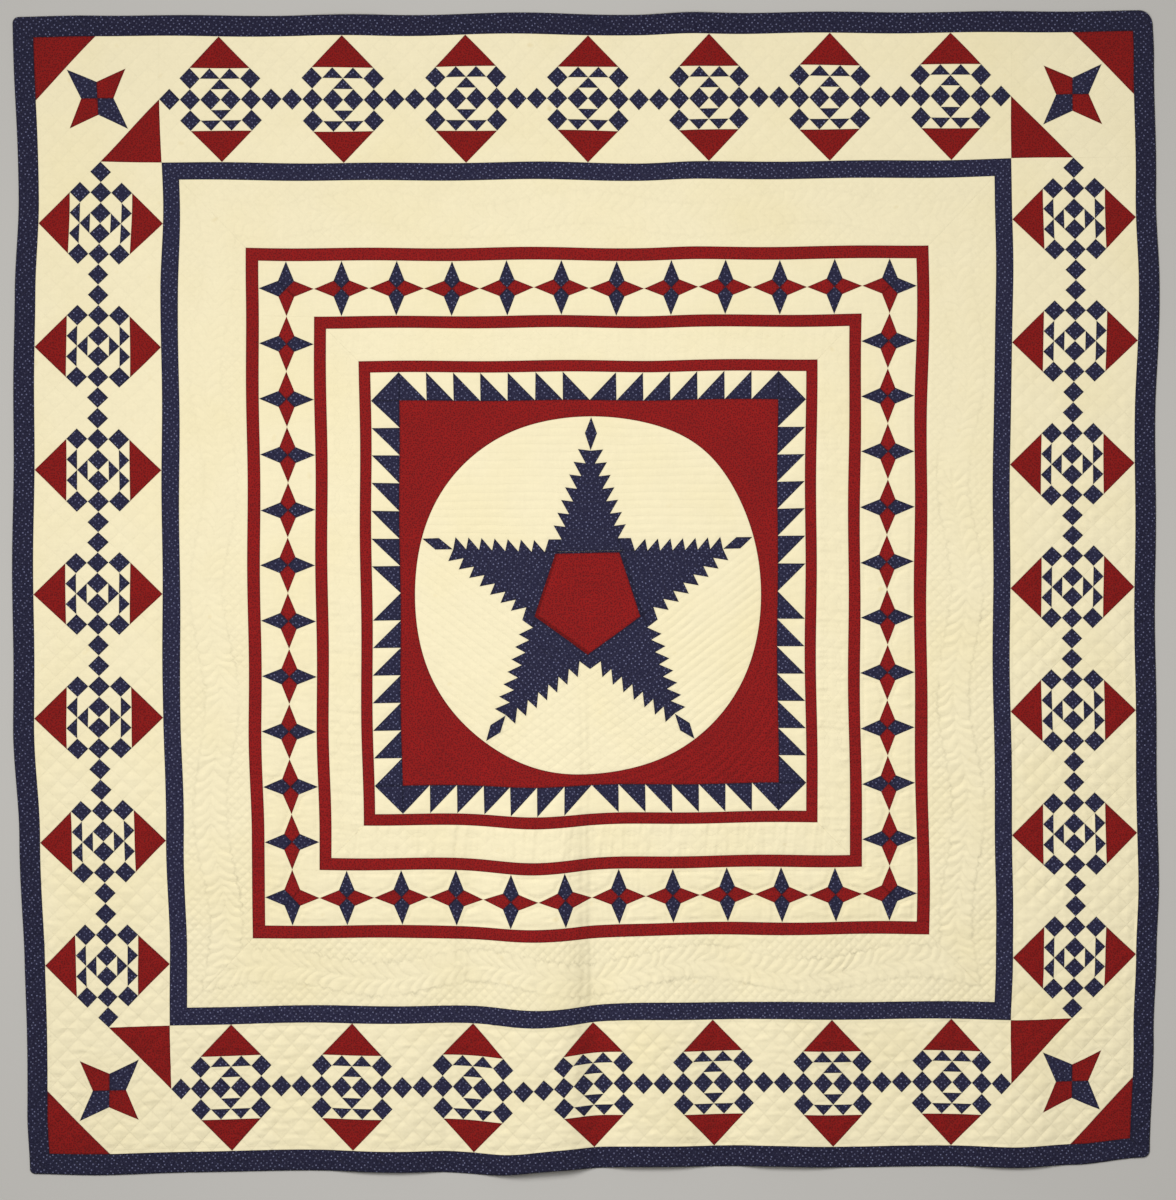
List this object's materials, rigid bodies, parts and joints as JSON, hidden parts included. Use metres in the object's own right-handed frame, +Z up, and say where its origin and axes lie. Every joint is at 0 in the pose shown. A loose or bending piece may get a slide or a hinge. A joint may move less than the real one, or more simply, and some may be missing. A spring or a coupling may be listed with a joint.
{
  "type": "quilt blanket",
  "caption": "Pieced and quilted bed cover with a feathered star in a circle, framed by patchwork borders, lying flat with soft folds at its lower edge.",
  "frame": {"origin": "Middle of the cover as it lies, on the floor plane it rests on.", "axes": "X runs right across the cover, Y up the cover towards its upper edge, Z up from the floor through the pieced face."},
  "size_m": [2.1212, 2.1536, 0.0222],
  "materials": {
    "cream_cotton": "matte",
    "red_cotton": "matte",
    "navy_cotton": "matte"
  },
  "bodies": {
    "root": {"star_disc": "cream_cotton", "red_square": "red_cotton", "sawtooth_top": "navy_cotton", "sawtooth_left": "navy_cotton", "sawtooth_bottom": "navy_cotton", "sawtooth_right": "navy_cotton", "inner_red_top": "red_cotton", "inner_red_left": "red_cotton", "inner_red_bottom": "red_cotton", "inner_red_right": "red_cotton", "cream_frame_top": "cream_cotton", "cream_frame_left": "cream_cotton", "cream_frame_bottom": "cream_cotton", "cream_frame_right": "cream_cotton", "middle_red_top": "red_cotton", "middle_red_left": "red_cotton", "middle_red_bottom": "red_cotton", "middle_red_right": "red_cotton", "star_chain_top": "cream_cotton", "star_chain_left": "cream_cotton", "star_chain_bottom": "cream_cotton", "star_chain_right": "cream_cotton", "outer_red_top": "red_cotton", "outer_red_left": "red_cotton", "outer_red_bottom": "red_cotton", "outer_red_right": "red_cotton", "wide_cream_top": "cream_cotton", "wide_cream_left": "cream_cotton", "wide_cream_bottom": "cream_cotton", "wide_cream_right": "cream_cotton", "navy_strip_top": "navy_cotton", "navy_strip_left": "navy_cotton", "navy_strip_bottom": "navy_cotton", "navy_strip_right": "navy_cotton", "block_border_top": "cream_cotton", "block_border_left": "cream_cotton", "block_border_bottom": "cream_cotton", "block_border_right": "cream_cotton", "corner_block_top_right": "cream_cotton", "corner_block_top_left": "cream_cotton", "corner_block_bottom_left": "cream_cotton", "corner_block_bottom_right": "cream_cotton", "edging_top": "navy_cotton", "edging_left": "navy_cotton", "edging_bottom": "navy_cotton", "edging_right": "navy_cotton"}
  },
  "joints": []
}
